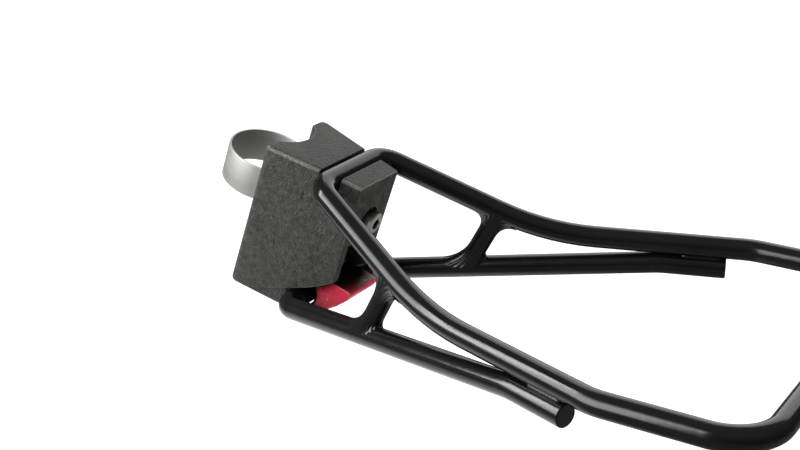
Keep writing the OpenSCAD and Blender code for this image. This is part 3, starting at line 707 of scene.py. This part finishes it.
spring_steel = finish("spring_steel", (0.55, 0.54, 0.52), 0.28, (700.0, 3.0, unstretched, 0.08), metal=1.0,
                      rough_spread=0.06, relief=(drawn, 0.000006))
wire_across = np.tile((0.0, 1.0, 0.0), (len(wire), 1))
spring = piece_of("spring_wire", [carried(round_outline(wire_r, 16), wire, outwards, wire_across, False)],
                  spring_steel, "lever_spring", None)
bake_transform(spring)

# Frame rods: 8 mm steel rod, bent cold and coated with gloss black enamel. The upper loop is
# closed, and lies with its front crossbar in the hook's slot. The lower loop is open at the rear,
# where its arms run along the underside of the tail.
rod_r = 0.004
bar_x = 0.03445
corner_y = 0.0201
spread = 0.37
knee_x = 0.097
tail_x = 0.212
tail_y = 0.068
upper_bar_z = 0.0568
lower_bar_z = 0.0049
upper_slope = -0.105
lap_x = 0.1367
tail_slope = 0.334
front_bend = 0.0094
knee_bend = 0.092
side_bend = 0.022
rear_bend = 0.016
lap_bend = 0.040
lap_gap = 0.0001
lap_l = 0.024
rod_sides = 48
rod_rim = 0.0004
bend_step = np.radians(3.0)


def unit(v):
    """The vector over its length."""
    v = np.asarray(v, float)
    return v / np.linalg.norm(v, axis=-1, keepdims=True)


def bend_points(before, here, after, radius):
    """Points of the arc that rounds the corner between two straight lengths: it starts and ends
    radius times the tangent of half the turn away from the corner."""
    v, w = unit(here - before), unit(after - here)
    turn_by = np.arccos(v @ w)
    first = here - v * radius * np.tan(turn_by / 2)
    centre = here + unit(w - v) * radius / np.cos(turn_by / 2)
    angle = np.linspace(0, turn_by, max(4, int(turn_by / bend_step) + 1))[:, None]
    return centre + np.cos(angle) * (first - centre) + np.sin(angle) * radius * v


def rod_path(corners, radii):
    """A path of straight lengths and arcs, round the corners in turn. A radius of 0 is a free end."""
    corners = np.asarray(corners)
    n = len(corners)
    return np.concatenate([
        corners[k:k + 1] if radii[k] == 0 else
        bend_points(corners[k - 1], corners[k], corners[(k + 1) % n], radii[k]) for k in range(n)])


def rod(path, closed, radius=rod_r, cut=0.0):
    """A round rod along a path. Its first axis across the path is the one that points up most. A free
    end is sawn off square, with its rim filed down by cut."""
    step = np.roll(path, -1, axis=0) - path
    ahead = unit(step) if closed else unit(np.concatenate([step[:-1], step[-2:-1]]))
    behind = np.roll(ahead, 1, axis=0)
    if not closed:
        behind[0] = ahead[0]
        ahead[-1] = behind[-1]
    run_dir = unit(ahead + behind)
    up = unit(np.array([0, 0, 1.0]) - run_dir[:, 2:] * run_dir)
    side = np.cross(run_dir, up)
    scale = np.ones(len(path))
    if cut:
        path = np.concatenate([path[:1], path[:1] + ahead[:1] * cut, path[1:-1],
                               path[-1:] - ahead[-1:] * cut, path[-1:]])
        side = np.concatenate([side[:1], side, side[-1:]])
        up = np.concatenate([up[:1], up, up[-1:]])
        scale = np.concatenate([[1 - cut / radius], scale, [1 - cut / radius]])
    return carried(round_outline(radius, rod_sides), path, side, up, closed, scale)


def arm_y(x):
    """Distance of the arms' axes from the middle, growing by spread from the crossbars' corners."""
    return corner_y + spread * (x - bar_x)


def mirrored(points):
    """The same points on the other side of the middle, in the opposite order."""
    return (np.asarray(points) * (1, -1, 1))[::-1]


knee_z = upper_bar_z + upper_slope * (knee_x - bar_x)
side_x = bar_x + (tail_y - corner_y) / spread


def tail_z(x):
    """Height of the tail's axis: it rises straight from the knee."""
    return knee_z + tail_slope * (x - knee_x)


upper_half = [(bar_x, corner_y, upper_bar_z), (knee_x, arm_y(knee_x), knee_z),
              (side_x, tail_y, tail_z(side_x)), (tail_x, tail_y, tail_z(tail_x))]
upper_bends = [front_bend, knee_bend, side_bend, rear_bend]
upper_path = rod_path(np.concatenate([upper_half, mirrored(upper_half)]), upper_bends + upper_bends[::-1])

lap_drop = (2 * rod_r + lap_gap) * np.sqrt(1 + tail_slope ** 2 / (1 + spread ** 2))
lower_slope = (tail_z(lap_x) - lap_drop - lower_bar_z) / (lap_x - bar_x)
lap_dir = unit((1, spread, tail_slope))
lap_from = np.array([lap_x, arm_y(lap_x), lower_bar_z + lower_slope * (lap_x - bar_x)])
lower_half = [(bar_x, corner_y, lower_bar_z), lap_from, lap_from + lap_dir * lap_l]
lower_bends = [front_bend, lap_bend, 0]
lower_path = rod_path(np.concatenate([mirrored(lower_half), lower_half]), lower_bends[::-1] + lower_bends)


def orange_peel(tree, links, place):
    """The coat's slight waviness, a few millimetres from crest to crest, with specks of dust in it."""
    slow = noise(tree, links, place, 260.0, 1.0)
    specks = remap(tree, links, noise(tree, links, place, 1900.0, 1.0), 0.74, 0.80, 0.0, 0.25)
    return worked(tree, links, "Math", "ADD", slow, specks)


rod_enamel = finish("rod_enamel", (0.0045, 0.0048, 0.0044), 0.18, (45.0, 3.0, unstretched, 0.2),
                    rough_spread=0.02, relief=(orange_peel, 0.00003), reach=0.0003)
piece_of("upper_rod", [rod(upper_path, True)], rod_enamel, "upper_loop", "bag_frame")
piece_of("lower_rod", [rod(lower_path, False, cut=rod_rim)],
         rod_enamel, "lower_loop", "bag_frame")

# Struts: two short lengths of thinner rod stand between the arms, leaning a little rearwards. Their
# ends are shaped to the arms, and each is welded on all round before the frame is coated.
strut_x = 0.0775
strut_lean = 0.0042
strut_r = 0.0036
strut_sides = 48


def meeting_height(cosine, facing, r_strut, r_arm):
    """How far along the strut its surface meets the arm's, in the direction facing round the strut:
    the root of the equation that says the point lies at r_arm from the arm's axis. cosine is that of
    the angle between the two axes."""
    sine_2 = 1 - cosine * cosine
    b = -2 * cosine * np.sqrt(sine_2) * r_strut * np.cos(facing)
    c = r_strut ** 2 * (1 - sine_2 * np.cos(facing) ** 2) - r_arm ** 2
    return (np.sqrt(b * b - 4 * sine_2 * c) - b) / 2 / sine_2


def strut_ends(side):
    """The arms' directions at the strut's foot and head, and the points where the axes meet."""
    foot_x, top_x = strut_x - strut_lean / 2, strut_x + strut_lean / 2
    foot = np.array([foot_x, side * arm_y(foot_x), lower_bar_z + lower_slope * (foot_x - bar_x)])
    top = np.array([top_x, side * arm_y(top_x), upper_bar_z + upper_slope * (top_x - bar_x)])
    return unit((1, side * spread, lower_slope)), unit((1, side * spread, upper_slope)), foot, top


round_strut = np.arange(strut_sides) * 2 * np.pi / strut_sides
for side, node in ((-1, "strut_left"), (1, "strut_right")):
    low_arm, high_arm, foot, top = strut_ends(side)
    stand = unit(top - foot)
    level = unit(low_arm - (low_arm @ stand) * stand)
    low_h = meeting_height(low_arm @ stand, round_strut, strut_r, rod_r)
    high_h = np.linalg.norm(top - foot) - meeting_height(-(high_arm @ stand), round_strut, strut_r, rod_r)
    rows = [(low_h + (high_h - low_h) * t, strut_r) for t in np.linspace(0, 1, 5)]
    piece_of(node + "_rod", [turned(rows, foot, stand, level, strut_sides)], rod_enamel, node,
             "bag_frame")

# Strut welds: a fillet of weld metal all round each end of the struts, smooth under the coating, with
# the faint ripples of the bead.
weld_h = 0.0052
weld_reach = 0.0088
weld_edge = 0.00006
weld_wrap = np.radians(84.0)
weld_skin = 0.00003
weld_sides = 192
weld_steps = 14
ripple = 0.00030
ripples = 22
ripple_slant = 2.2


def weld_fillet(meet, arm, up):
    """A fillet round a strut that stands on an arm. For each direction round the strut its section
    is a hollow curve from the strut down to the arm, and back under it along the arm and the strut.
    meet is the point where the axes meet, arm the arm's direction and up the strut's."""
    facing = np.arange(weld_sides) * 2 * np.pi / weld_sides
    cosine = float(up @ arm)
    level = unit(arm - cosine * up)
    aside = np.cross(up, level)
    crest = unit(up - cosine * arm)
    flank = np.cross(crest, arm)
    out = np.cos(facing)[:, None] * level + np.sin(facing)[:, None] * aside

    def on_arm(distance, turn_arm, r):
        """Points at a distance along the arm, turned round it from its crest, at a radius."""
        return meet + distance[..., None] * arm + r * (np.cos(turn_arm)[..., None] * crest
                                                       + np.sin(turn_arm)[..., None] * flank)

    ring = meet + up * (rod_r + weld_h) + out * (strut_r + weld_edge)
    reach_arm, turn_arm = weld_reach * np.cos(facing), weld_wrap * np.sin(facing)
    foot = on_arm(reach_arm, turn_arm, rod_r + weld_edge)
    crotch_h = meeting_height(cosine, facing, strut_r + weld_skin, rod_r + weld_skin)[:, None]
    crotch = up * crotch_h + out * (strut_r + weld_skin)
    crotch_turn = np.arcsin(np.clip(crotch @ aside / (rod_r + weld_skin), -1, 1))
    crotch_along = crotch @ arm
    mid = meet + up * (crotch_h + weld_edge) + out * (strut_r + weld_edge + weld_skin)
    t = np.linspace(0, 1, weld_steps + 1)[:, None, None]
    outer = (1 - t) ** 2 * ring + 2 * t * (1 - t) * mid + t ** 2 * foot
    wave = 0.5 + 0.5 * np.cos(ripples * facing + ripple_slant * t[..., 0])
    outer = outer + ripple * np.sin(np.pi * t) * wave[..., None] * unit(out + up)
    u = np.linspace(0, 1, weld_steps // 2 + 1)[:-1, None]
    under = on_arm((1 - u) * reach_arm + u * crotch_along, (1 - u) * turn_arm + u * crotch_turn,
                   rod_r + weld_skin)
    inner = meet + up * (rod_r + weld_h) + out * (strut_r + weld_skin)
    rows = np.concatenate([outer, under, (meet + crotch)[None], inner[None]])
    return rows.reshape(-1, 3), grid_faces(len(rows), weld_sides, True)


fillets = []
for side in (-1, 1):
    low_arm, high_arm, foot, top = strut_ends(side)
    stand = unit(top - foot)
    fillets += [weld_fillet(foot, low_arm, stand), weld_fillet(top, high_arm, -stand)]
piece_of("strut_weld_fillets", fillets, rod_enamel, "strut_welds", "bag_frame")

# Tail welds: a bead of weld in the groove between each lower arm and the tail above it, on both sides
# of the groove. Each bead pulses a little along its length and tapers off at its ends.
tail_weld_l = 0.014
tail_weld_back = 0.002
bead_r = 0.00085
bead_aside = 0.0014
bead_pulse = 0.05
bead_pulses = 11
bead_end = 0.02
bead_steps = 60
bead_sides = 16
lap_up = unit(np.array([0, 0, 1.0]) - lap_dir[2] * lap_dir)
lap_side = np.cross(lap_dir, lap_up)
bead_run = np.linspace(0, 1, bead_steps + 1)
bead_from = lap_from + lap_dir * (lap_l - tail_weld_l - tail_weld_back) + lap_up * (rod_r + lap_gap / 2)
bead_taper = np.sqrt(np.clip(1 - np.abs(2 * bead_run - 1) ** 6, bead_end, 1))
bead_size = bead_taper * (1 + bead_pulse * np.cos(2 * np.pi * bead_pulses * bead_run))
bead_side, bead_up = (np.tile(way, (len(bead_run), 1)) for way in (lap_side, lap_up))
beads = []
for hand in (-1, 1):
    path = bead_from + bead_run[:, None] * tail_weld_l * lap_dir + hand * lap_side * bead_aside
    verts, faces = carried(round_outline(bead_r, bead_sides), path, bead_side, bead_up, False, bead_size)
    beads += [(verts * (1, mirror, 1), faces) for mirror in (1, -1)]
piece_of("tail_weld_beads", beads, rod_enamel, "tail_welds", "bag_frame")

# Closing weld: the upper loop's rod is butt welded in the middle of the rear crossbar, which leaves a
# low rippled ring.
ring_w = 0.0040
ring_t = 0.0007
ring_sink = 0.00002
ring_wave = 0.12
ring_waves = 14
ring_sides = 72
turn = np.arange(ring_sides) * 2 * np.pi / ring_sides
ring_rows = []
for t in np.linspace(-1, 1, 13):
    lift = ring_t * (1 - t * t) ** 0.7 * (1 - ring_wave + ring_wave * np.cos(ring_waves * turn + 2.0 * t))
    ring_rows.append((t * ring_w / 2, rod_r - ring_sink + lift))
ring_parts = [turned(ring_rows, (tail_x, 0, tail_z(tail_x)), (0, 1, 0), (0, 0, 1), ring_sides)]
piece_of("closing_weld_ring", ring_parts, rod_enamel, "closing_weld", "bag_frame")
